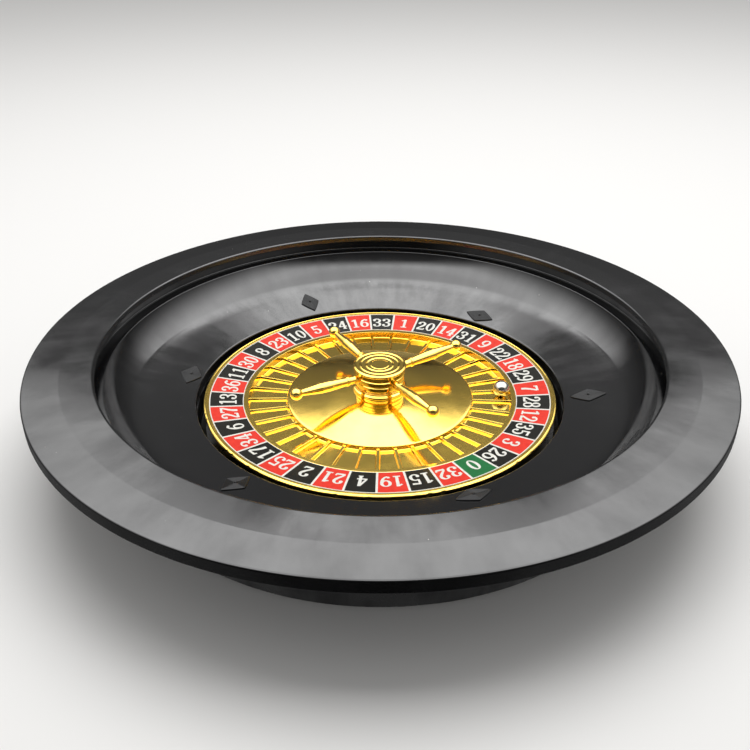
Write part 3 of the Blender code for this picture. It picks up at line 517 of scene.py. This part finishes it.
def make_head():
    """Two turned outlines that meet below the number ring, the disc with its pockets and the flange with its
    bead, and the frets that stand in the pockets."""
    dome_in_r, dome_out_r = 17.4, DISC_R - 0.5
    outs = np.linspace(dome_in_r, dome_out_r, 44)
    edge = rounded([
        (dome_out_r, float(disc_height(dome_out_r))), (DISC_R + 0.1, DISC_Z - 0.05, 0.35),
        (DISC_R + 0.5, DISC_Z - 0.4, 0.2), (POCKET_IN_R, POCKET_Z, 0.4), (POCKET_OUT_R, POCKET_Z, 0.5),
        (BAND_IN_R, BAND_Z, 0.15), (RING_IN_R - GAP, BAND_Z, 0.1), (RING_IN_R - GAP, 27.4), (88.0, 27.97),
        (88.0, 25.4, 0.2), (84.0, 25.2, 1.0), (79.6, 21.8, 1.5), (54.9, 21.8, 1.5), (53.8, 24.6, 2.0),
        (14.0, 29.4, 1.0), (14.0, 20.75, 0.3), (11.3, 20.75, 0.3), (11.3, 27.0, 0.1), (10.0, 27.0, 0.1),
        (10.0, SEAT_Z, 0.2), (SEAT_R - 1.5, SEAT_Z, 0.3), (SEAT_R, float(disc_height(SEAT_R)), 0.3),
        (dome_in_r, float(disc_height(dome_in_r))),
    ], ring=False, steps=3, hold=0.12)
    disc = np.concatenate((np.stack((outs, disc_height(outs)), -1)[:-1], edge[:-1]))
    make_piece("wheel_head_disc", [lathe(disc, phase=FIRST_DIVIDER)], [HEAD_GOLD], "wheel", ["wheel_head"],
               sharp=40)
    flange_z = RING_OUT_Z + 0.3
    flange = rounded([
        (88.1, 27.98), (RING_OUT_R + GAP, 29.16), (RING_OUT_R + GAP, flange_z, 0.15), (103.7, flange_z, 0.1),
        (104.0, RING_OUT_Z + 0.5, 0.2), (104.8, flange_z, 0.4), (FLANGE_R, RING_OUT_Z - 0.2, 0.3),
        (FLANGE_R - 0.1, 28.76, 0.3), (103.6, 26.56, 1.0), (88.1, 25.41),
    ], steps=3, hold=0.12)
    points, quads = lathe(flange, FLANGE_STEPS, phase=FIRST_DIVIDER)
    make_piece("wheel_head_flange", [(flash(points), quads)], [HEAD_GOLD], "wheel", sharp=40)
    make_piece("frets", [fret(i) for i in range(POCKETS)], [HEAD_GOLD], "wheel", sharp=40)


# Number ring

# Anticlockwise seen from above, from the pocket at the first divider
NUMBERS = (7, 29, 18, 22, 9, 31, 14, 20, 1, 33, 16, 24, 5, 10, 23, 8, 30, 11, 36, 13, 27, 6, 34, 17, 25, 2, 21, 4,
           19, 15, 32, 0, 26, 3, 35, 12, 28)
DIVIDER = 1.2  # width of the white line between two cells
CARD = 0.5  # thickness of the ring
DIGIT_HEIGHT = 10.2
DIGIT_WIDTH = 6.4  # with the space beside it
DIGIT_MIDDLE_R = 91.0
BOX_WIDTH, BOX_HEIGHT = 5.0, 10.0  # of the box that a digit's strokes are drawn in
BOX_STEP = 5.3  # from one digit's box to the next
INK = 0.05
WHITE, RED, BLACK, GREEN = range(4)


def cell_colour(number, order):
    """Green for zero, then black and red in turn round the ring."""
    if number == 0:
        return GREEN
    return BLACK if order % 2 else RED


def ring_height(radius):
    """The printed face of the ring, which rises outwards."""
    return RING_IN_Z + (radius - RING_IN_R) * (RING_OUT_Z - RING_IN_Z) / (RING_OUT_R - RING_IN_R)


def make_number_ring():
    """The printed face is a grid of radius by angle. A divider's border lies half a divider's width from its
    radius, at the angle d / (2 r), so that it stays as wide at each radius."""
    inner_border, outer_border = 0.45, 0.6  # widths of the white borders
    radii = np.array([RING_IN_R, RING_IN_R + inner_border, RING_IN_R + 7, RING_IN_R + 14, RING_OUT_R - outer_border,
                      RING_OUT_R])
    zero = NUMBERS.index(0)
    shares = np.linspace(0, 1, 13)
    angles, colours = [], []
    for i, number in enumerate(NUMBERS):
        start = FIRST_DIVIDER + i * PITCH
        edge = DIVIDER / 2 / radii
        angles.append(start - edge)
        colours.append(WHITE)
        order = (i - zero) % POCKETS
        inside = start + edge[:, None] + (PITCH - 2 * edge)[:, None] * shares[None, :]
        angles.extend(inside[:, k] for k in range(len(shares) - 1))
        colours.extend([cell_colour(number, order)] * (len(shares) - 1))
    angles = np.stack(angles, 1)
    top = np.stack((radii[:, None] * np.cos(angles), radii[:, None] * np.sin(angles),
                    np.broadcast_to(ring_height(radii)[:, None], angles.shape)), -1)
    points, quads = grid(top, wrap_columns=True)
    face = np.tile(colours, (len(radii) - 1, 1))
    face[0] = WHITE
    face[-1] = WHITE
    low = top[[0, -1]] - (0, 0, CARD)
    under, sides = grid(np.concatenate((top[:1], low[:1], low[1:], top[-1:])), wrap_columns=True)
    parts = [(points, quads, face.reshape(-1)), (under, sides, np.full(len(sides), WHITE))]
    make_piece("number_ring_card", parts, [WHITE_PRINT, RED_PRINT, BLACK_PRINT, GREEN_PRINT], "wheel",
               ["number_ring"], sharp=30)


def stroke(path, widths):
    """The outline of a pen stroke: each point moved to both sides, square to the path, by half its width."""
    path = np.array(path, float)
    widths = np.broadcast_to(widths, len(path)) / 2
    run = np.gradient(path, axis=0)
    normal = np.stack((-run[:, 1], run[:, 0]), -1) / np.linalg.norm(run, axis=1)[:, None]
    left, right = path + normal * widths[:, None], path - normal * widths[:, None]
    return [np.array((left[i], left[i + 1], right[i + 1], right[i])) for i in range(len(path) - 1)]


def bow(centre, radii, start, end, thick, thin, steps=18):
    """A curved stroke on an ellipse, from one angle to another in degrees: thick where it runs upright
    and thin where it runs level, as w = thin + (thick - thin) |cos a|."""
    angles = np.radians(np.linspace(start, end, steps + 1))
    path = np.stack((centre[0] + radii[0] * np.cos(angles), centre[1] + radii[1] * np.sin(angles)), -1)
    return stroke(path, thin + (thick - thin) * np.abs(np.cos(angles)) ** 1.5)


def dot(centre, radius, steps=14):
    """A round end of a stroke."""
    angles = np.arange(steps) * TURN / steps
    return [np.stack((centre[0] + radius * np.cos(angles), centre[1] + radius * np.sin(angles)), -1)]


def digit_strokes(digit):
    """Strokes of one digit in a box 5 wide and 10 high: bold uprights, thin level parts and slab ends."""
    thick, thin = 1.4, 0.85
    if digit == 0:
        return bow((2.5, 5), (1.72, 4.5), 0, 360, thick, thin, 36)
    if digit == 1:
        return (stroke([(2.75, 0.3), (2.75, 9.95)], thick) + stroke([(1.0, 0.45), (4.4, 0.45)], 0.9)
                + stroke([(2.6, 9.5), (1.0, 8.1)], 1.0))
    if digit == 2:
        return (bow((2.45, 7.2), (1.6, 2.3), 165, -35, thick, thin)
                + stroke([(3.75, 5.95), (2.9, 4.3), (1.4, 2.3), (0.75, 1.0)], [1.5, 1.3, 1.1, 1.2])
                + stroke([(0.4, 0.7), (4.5, 0.7)], 1.35) + stroke([(4.35, 0.3), (4.6, 2.2)], 0.8)
                + dot((1.1, 7.4), 0.85))
    if digit == 3:
        return (bow((2.3, 7.4), (1.65, 2.15), 160, -88, thick, thin)
                + bow((2.3, 2.75), (1.85, 2.3), 88, -160, thick, thin)
                + stroke([(1.7, 5.25), (2.6, 5.25)], 0.9) + dot((1.0, 7.7), 0.8) + dot((0.85, 2.3), 0.85))
    if digit == 4:
        return (stroke([(3.35, 0.3), (3.35, 9.9)], thick) + stroke([(0.3, 3.1), (4.9, 3.1)], 1.0)
                + stroke([(3.2, 9.6), (0.6, 3.2)], 1.0) + stroke([(2.2, 0.4), (4.5, 0.4)], 0.8))
    if digit == 5:
        return (bow((2.3, 3.2), (1.85, 2.7), 125, -155, thick, thin) + stroke([(1.1, 5.2), (1.1, 9.6)], 0.95)
                + stroke([(0.8, 9.25), (4.3, 9.25)], 1.35) + dot((0.9, 2.3), 0.85))
    if digit == 6:
        return (bow((2.55, 3.1), (1.75, 2.65), 0, 360, thick, thin, 30)
                + bow((3.6, 3.6), (2.8, 5.9), 180, 95, thick, thin) + dot((3.75, 8.7), 0.8))
    if digit == 7:
        return (stroke([(0.5, 9.25), (4.6, 9.25)], 1.35)
                + stroke([(4.4, 9.0), (2.9, 5.2), (2.2, 2.4), (2.05, 0.1)], [1.0, 1.4, 1.7, 1.75])
                + stroke([(0.75, 9.8), (0.6, 7.6)], 0.8))
    if digit == 8:
        return (bow((2.5, 7.35), (1.5, 2.15), 0, 360, 1.25, thin, 30)
                + bow((2.5, 2.75), (1.8, 2.3), 0, 360, thick, thin, 30))
    return (bow((2.45, 6.9), (1.75, 2.65), 0, 360, thick, thin, 30)
            + bow((1.4, 6.4), (2.8, 5.9), 0, -85, thick, thin) + dot((1.25, 1.3), 0.8))


def digit_shape(digit):
    """The union of a digit's strokes as triangles, and the edges round it, with the box's middle at the origin."""
    corners, faces = [], []
    for polygon in digit_strokes(digit):
        x, y = polygon[:, 0], polygon[:, 1]
        area = np.sum(x * np.roll(y, -1) - y * np.roll(x, -1))
        if abs(area) < 1e-6:
            continue
        polygon = polygon if area > 0 else polygon[::-1]
        faces.append(list(range(len(corners), len(corners) + len(polygon))))
        corners.extend(Vector(map(float, point)) for point in polygon)
    points, _, triangles, _, _, owners = delaunay_2d_cdt(corners, [], faces, 0, 1e-4)
    points = np.array([tuple(point) for point in points])
    triangles = np.array([tuple(triangle) for triangle, owner in zip(triangles, owners) if owner])
    edges = np.concatenate([triangles[:, [i, (i + 1) % 3]] for i in range(3)])
    known = {tuple(edge) for edge in edges.tolist()}
    border = np.array([edge for edge in edges.tolist() if (edge[1], edge[0]) not in known])
    return points - (BOX_WIDTH / 2, BOX_HEIGHT / 2), triangles, border


def make_numbers():
    """Each number's digits stand side by side across its cell with their tops outwards. A digit's point (x, y)
    goes to the radius R + y and the angle x / R from the middle of the cell, on the ring and one ink film above."""
    shapes = {digit: digit_shape(digit) for digit in range(10)}
    parts = []
    for i, number in enumerate(NUMBERS):
        digits = [int(character) for character in str(number)]
        for k, digit in enumerate(digits):
            points, triangles, border = shapes[digit]
            side = (k - (len(digits) - 1) / 2) * DIGIT_WIDTH
            x = points[:, 0] * DIGIT_WIDTH / BOX_STEP + side
            radius = DIGIT_MIDDLE_R + points[:, 1] * DIGIT_HEIGHT / BOX_HEIGHT
            angle = FIRST_DIVIDER + (i + 0.5) * PITCH - x / DIGIT_MIDDLE_R
            flat = np.stack((radius * np.cos(angle), radius * np.sin(angle), ring_height(radius)), -1)
            count = len(flat)
            solid = np.concatenate((flat - (0, 0, INK), flat + (0, 0, INK)))
            parts.append((solid, triangles[:, ::-1]))
            parts.append((solid, triangles + count))
            walls = np.stack((border[:, 0], border[:, 1], border[:, 1] + count, border[:, 0] + count), -1)
            parts.append((solid, walls))
    make_piece("number_print", parts, [WHITE_PRINT], "wheel", sharp=40)


# Deflectors


def make_deflectors():
    """A deflector's rings lie on the rounded rhombus |x / a|^p + |y / b|^p = 1, each at its share of the size and
    its own height over the cone: a flat plate with five embossed ridges and a pearl in its middle."""
    half_length, half_width, power = 10.25, 6.4, 1.08
    steps = 96
    face, ridge, pearl_r = 0.75, 0.92, 0.9
    levels = [(0.0, 0.05), (0.97, 0.05), (1.0, 0.12), (1.0, 0.6), (0.97, face)]
    for share in (0.94, 0.79, 0.64, 0.49, 0.34):
        levels += [(share, face), (share - 0.02, ridge), (share - 0.03, ridge), (share - 0.05, face)]
    levels += [(0.2, face), (0.18, pearl_r), (0.0, pearl_r)]
    angles = np.arange(steps) * TURN / steps
    x, y = np.cos(angles), np.sin(angles)
    reach = (np.abs(x / half_length) ** power + np.abs(y / half_width) ** power) ** (-1 / power)
    share = np.array([level[0] for level in levels])[:, None]
    height = np.array([level[1] for level in levels])[:, None]
    rings = np.stack((share * reach * x, share * reach * y, np.broadcast_to(height, (len(levels), steps))), -1)
    plate = grid(rings, wrap_columns=True)
    swing = np.linspace(0, math.pi, 13)
    ball = lathe(np.stack((pearl_r * np.sin(swing), pearl_r * np.cos(swing)), -1), 28, ring=False)
    pearl = placed(ball, Matrix.Translation((0, 0, pearl_r)))
    first, spacing = 53.7, 60  # azimuths in degrees
    along_offset, across_offset = 14.2, 7.5  # from the well's edge to a plate's middle
    for i in range(6):
        on_slope = i % 2 == 1
        radius = WELL_R + (along_offset if on_slope else across_offset)
        place = around(math.radians(first + spacing * i), radius, cone_height(radius))
        place = place @ Matrix.Rotation(-CONE_SLOPE, 4, "Y")
        place = place @ Matrix.Rotation(0.0 if on_slope else math.pi / 2, 4, "Z")
        parts = [placed(plate, place), placed(pearl, place)]
        make_piece(f"deflector_plate_{i + 1}", parts, [DEFLECTOR_ABS], "base", [f"deflector_{i + 1}"],
                   sharp=60)


# Turret

SAUCER_LOW = SEAT_Z + GAP
FIRST_HANDLE = 31.6  # azimuth in degrees, with the others a quarter turn apart
HANDLE_RISE = math.radians(3.5)
HANDLE_Z = 41.86
DRUM_R = 15.0
DRUM_LOW = 36.0
DRUM_TOP = 45.6
DRUM_GROOVE = 0.5  # depth of the two grooves round the drum
CAP_LOW = 45.9
CAP_FLOOR = 47.2  # between the raised rings on the cap
CAP_R = 15.8
PEG_R = 2.2
PEG_LOW = 39.9
CAP_RIDGE = ((-0.6, 0.0, 0.2), (0.0, 0.45, 0.35), (0.6, 0.0, 0.2))  # (outwards, upwards, fillet) from its crest


def make_turret():
    """Three turned outlines of (r, z): the base with its saucer, neck and hollow column, the grooved drum, and
    the cap with its raised rings and its peg."""
    base = rounded([
        (2.5, 45.3, 0.2), (5.0, 45.3, 0.3), (5.0, 35.7), (14.2, 35.7, 0.2), (14.2, 35.0, 0.2), (15.2, 34.9, 0.2),
        (15.3, 34.2, 0.2), (14.9, 33.9, 0.2), (15.3, 33.6, 0.4), (16.2, 33.2, 0.6), (16.2, 31.9, 0.6),
        (15.6, 31.45, 0.3), (14.9, SAUCER_LOW, 0.2), (9.7, SAUCER_LOW, 0.2), (9.7, 30.9, 0.2), (7.9, 30.9, 0.2),
        (7.9, 33.8, 0.3), (2.5, 33.8, 0.2),
    ])
    make_piece("turret_base_turning", [lathe(base, SMALL_STEPS)], [TURRET_GOLD], "wheel", ["turret_base"],
               sharp=40)
    groove_r = DRUM_R - DRUM_GROOVE
    drum = rounded([
        (5.3, DRUM_TOP, 0.2), (DRUM_R, DRUM_TOP, 0.3), (DRUM_R, 43.0, 0.15), (groove_r, 42.6, 0.3),
        (DRUM_R, 42.2, 0.15), (DRUM_R, 39.7, 0.15), (groove_r, 39.2, 0.3), (DRUM_R, 38.7, 0.15),
        (DRUM_R, DRUM_LOW, 0.5), (5.3, DRUM_LOW, 0.2),
    ])
    make_piece("turret_drum_turning", [lathe(drum, SMALL_STEPS)], [TURRET_GOLD], "wheel", ["turret_drum"],
               sharp=40)
    ridges = [(crest + side, CAP_FLOOR + high, fillet) for crest in (7.9, 11.5) for side, high, fillet in CAP_RIDGE]
    cap = rounded([
        (0, 47.35), (5.3, 47.35, 0.2), (5.7, CAP_FLOOR, 0.2), *ridges, (14.0, CAP_FLOOR, 0.2), (14.6, 47.65, 0.35),
        (CAP_R, 47.0, 0.5), (CAP_R, 46.1, 0.3), (15.5, CAP_LOW, 0.2), (PEG_R, CAP_LOW, 0.2), (PEG_R, PEG_LOW, 0.3),
        (0, PEG_LOW),
    ], ring=False)
    make_piece("turret_cap_turning", [lathe(cap, SMALL_STEPS, ring=False)], [TURRET_GOLD], "wheel", ["turret_cap"],
               sharp=40)


def make_handles():
    """A handle's profile is (radius, distance from the drum), ended by a ball knob that its neck runs into."""
    stub, neck, knob_r = 6.8, 1.8, 3.6
    spigot_r, stub_r, collar_r, swell_r = 1.5, 2.3, 2.9, 3.2
    spigot_end = -6.5
    tip = stub + 30.8
    outline = rounded([
        (0, spigot_end), (spigot_r, spigot_end, 0.3), (spigot_r, GAP, 0.1), (stub_r, GAP, 0.2),
        (stub_r, stub - 0.2, 0.3), (collar_r, stub, 0.25), (collar_r, stub + 1.2, 0.3), (2.5, stub + 1.4, 0.2),
        (swell_r, stub + 12.0, 9.0), (swell_r, stub + 18.0, 9.0), (neck, tip, 0.4),
    ], ring=False)[:-1]
    knob_middle = tip + math.sqrt(knob_r**2 - neck**2)
    swing = np.linspace(math.pi - math.asin(neck / knob_r), 0, 15)
    knob = np.stack((knob_r * np.sin(swing), knob_middle + knob_r * np.cos(swing)), -1)
    knob[-1, 0] = 0
    outline = np.concatenate((outline, knob))
    shape = lathe(outline, 40, ring=False)
    for i in range(4):
        place = around(math.radians(FIRST_HANDLE + 90 * i), DRUM_R, HANDLE_Z)
        place = place @ Matrix.Rotation(math.pi / 2 - HANDLE_RISE, 4, "Y")
        make_piece(f"handle_turning_{i + 1}", [placed(shape, place)], [TURRET_GOLD], "wheel",
                   [f"turret_handle_{i + 1}"], sharp=40)


def make_ball():
    """A sphere of 64 by 32 steps about its place in the first pocket."""
    ball_r, centre_r = 5.0, 73.6
    swing = np.linspace(0, math.pi, 33)
    outline = np.stack((ball_r * np.sin(swing), ball_r * np.cos(swing)), -1)
    outline[[0, -1], 0] = 0
    azimuth = FIRST_DIVIDER + PITCH / 2
    ball = placed(lathe(outline, 64, ring=False), around(azimuth, centre_r, POCKET_Z + GAP + ball_r))
    make_piece("steel_ball", [ball], [BALL_STEEL], "ball", ["roulette_ball"], sharp=180)


def dress(names, finish):
    """The frame's own pieces keep their shape and get their real finish."""
    for name in names:
        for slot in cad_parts[name].material_slots:
            slot.material = finish


make_bowl()
make_rim()
make_casing()
make_head()
make_number_ring()
make_numbers()
make_deflectors()
make_turret()
make_handles()
make_ball()
dress(["base_plate"], CASING_ABS)
dress([f"foot_pad_{i}" for i in range(1, 7)], PAD_RUBBER)
dress(["spindle_bolt", "spindle_lower_washer", "spindle_lock_nut", "spindle_upper_washer", "spindle_top_nut",
       "bearing_inner_race", "bearing_outer_race"], BRIGHT_STEEL)
dress([f"bearing_ball_{i}" for i in range(1, 8)], BALL_STEEL)
dress(["bearing_cage"], CAGE_POLYMER)


# Floor, light and camera

# Lengths of the studio are in metres
FLOOR_HALF = 5.0
CARD_TOP = 3.0
CARD_AWAY = 3.0


def make_floor():
    """A plain pale square. Reflections on the wheel don't see it."""
    material = new_finish("pale_floor", "#E9E8E6", 0.6, Specular_IOR_Level=0.0)[0]
    mesh = bpy.data.meshes.new("floor")
    half = FLOOR_HALF
    mesh.from_pydata([(-half, -half, 0), (half, -half, 0), (half, half, 0), (-half, half, 0)], [], [(0, 1, 2, 3)])
    mesh.materials.append(material)
    floor = bpy.data.objects.new("floor", mesh)
    bpy.context.scene.collection.objects.link(floor)
    floor.visible_glossy = False


def make_dark_card():
    """A dark card behind the wheel, which only reflections see. It stands highest on both sides of a shallow
    notch in its middle, falls away outwards, and gets a little lighter upwards."""
    material = bpy.data.materials.new("dark_card")
    material.use_nodes = True
    tree = material.node_tree
    tree.nodes.clear()
    place = add(tree, "ShaderNodeTexCoord").outputs["Object"]
    split = add(tree, "ShaderNodeSeparateXYZ", links={"Vector": place})
    level = spread(tree, split.outputs["Z"], 0.3, 2.4, 0.05, 0.3)
    edge_glow = spread(tree, split.outputs["Z"], 2.4, CARD_TOP, 0.0, 0.55)
    total = add(tree, "ShaderNodeMath", links={0: level, 1: edge_glow}, operation="ADD")
    glow = add(tree, "ShaderNodeEmission", {"Color": linear("#FFFFFF")}, {"Strength": total.outputs[0]})
    add(tree, "ShaderNodeOutputMaterial", links={"Surface": glow.outputs[0]})
    mesh = bpy.data.meshes.new("dark_card")
    side = [(3.1, 0.0), (2.9, 1.0), (1.9, 1.7), (1.15, 2.2), (0.95, CARD_TOP), (0.6, CARD_TOP), (0.4, 2.7)]
    edge = side + [(-x, z) for x, z in reversed(side)]
    mesh.from_pydata([(x, CARD_AWAY, z) for x, z in edge], [], [tuple(range(len(edge)))])
    mesh.materials.append(material)
    card = bpy.data.objects.new("dark_card", mesh)
    bpy.context.scene.collection.objects.link(card)
    card.visible_camera = False
    card.visible_diffuse = False
    card.visible_shadow = False


def make_world():
    """The studio as reflections see it: dim low down and brightest at 50 to 60 degrees up. On the camera's side
    it is darkened from the height where the ceiling begins down to the floor. Other rays see an even grey."""
    world = bpy.data.worlds.new("studio")
    bpy.context.scene.world = world
    world.use_nodes = True
    tree = world.node_tree
    tree.nodes.clear()
    place = add(tree, "ShaderNodeTexCoord").outputs["Generated"]
    split = add(tree, "ShaderNodeSeparateXYZ", links={"Vector": place})
    ramp = add(tree, "ShaderNodeValToRGB", links={"Fac": split.outputs["Z"]})
    stops = [
        (0.0, 0.02), (0.17, 0.05), (0.34, 0.15), (0.5, 0.33), (0.64, 0.55), (0.77, 0.8), (0.87, 0.82), (0.94, 0.7),
        (1.0, 0.65),
    ]
    elements = ramp.color_ramp.elements
    while len(elements) < len(stops):
        elements.new(0.5)
    for element, (position, value) in zip(elements, stops):
        element.position = position
        element.color = (value, value, value, 1)
    darkened, bright = 0.5, 6.2
    near = spread(tree, split.outputs["Y"], -0.68, -0.48, darkened, bright)
    level = add(tree, "ShaderNodeMath", links={0: ramp.outputs["Color"], 1: near}, operation="MULTIPLY")
    studio = add(tree, "ShaderNodeBackground", links={"Strength": level.outputs[0]})
    plain = add(tree, "ShaderNodeBackground", {"Color": linear("#FFFFFF"), "Strength": 0.5})
    rays = add(tree, "ShaderNodeLightPath")
    mixed = add(tree, "ShaderNodeMixShader",
                links={0: rays.outputs["Is Glossy Ray"], 1: plain.outputs[0], 2: studio.outputs[0]})
    add(tree, "ShaderNodeOutputWorld", links={"Surface": mixed.outputs[0]})


def make_lamps():
    """One broad overhead softbox, set back over the wheel, for the soft shadow. Reflections see the studio
    instead."""
    light = bpy.data.lights.new("softbox", "AREA")
    light.shape = "RECTANGLE"
    light.size = 1.6
    light.size_y = 1.2
    light.energy = 22.0
    lamp = bpy.data.objects.new("softbox", light)
    lamp.matrix_world = Matrix.Translation((0.1, 0.35, 1.5)) @ Matrix.Rotation(math.radians(-13), 4, "X")
    lamp.visible_glossy = False
    lamp.visible_camera = False
    bpy.context.scene.collection.objects.link(lamp)


def make_camera():
    """The photograph's viewpoint: on the near side, a little above 30 degrees, turned a touch to the left."""
    lens_px, frame_px = 894.94, 750
    eye = Vector((0.0, -463.44, 309.27)) * MM
    right = Vector((0.99998587, 0.00465474, -0.00257138))
    up = Vector((-0.00011608, 0.50253825, 0.86455497))
    forward = Vector((-0.0053165, 0.86454244, -0.50253169))
    camera = bpy.data.cameras.new("camera")
    camera.sensor_width = 36.0
    camera.lens = lens_px * camera.sensor_width / frame_px
    camera.clip_start = 0.01
    holder = bpy.data.objects.new("camera", camera)
    turn = Matrix((right, up, -forward)).transposed().to_4x4()
    holder.matrix_world = Matrix.Translation(eye) @ turn
    bpy.context.scene.collection.objects.link(holder)
    bpy.context.scene.camera = holder


make_floor()
make_dark_card()
make_world()
make_lamps()
make_camera()
bpy.context.scene.view_settings.view_transform = "Standard"
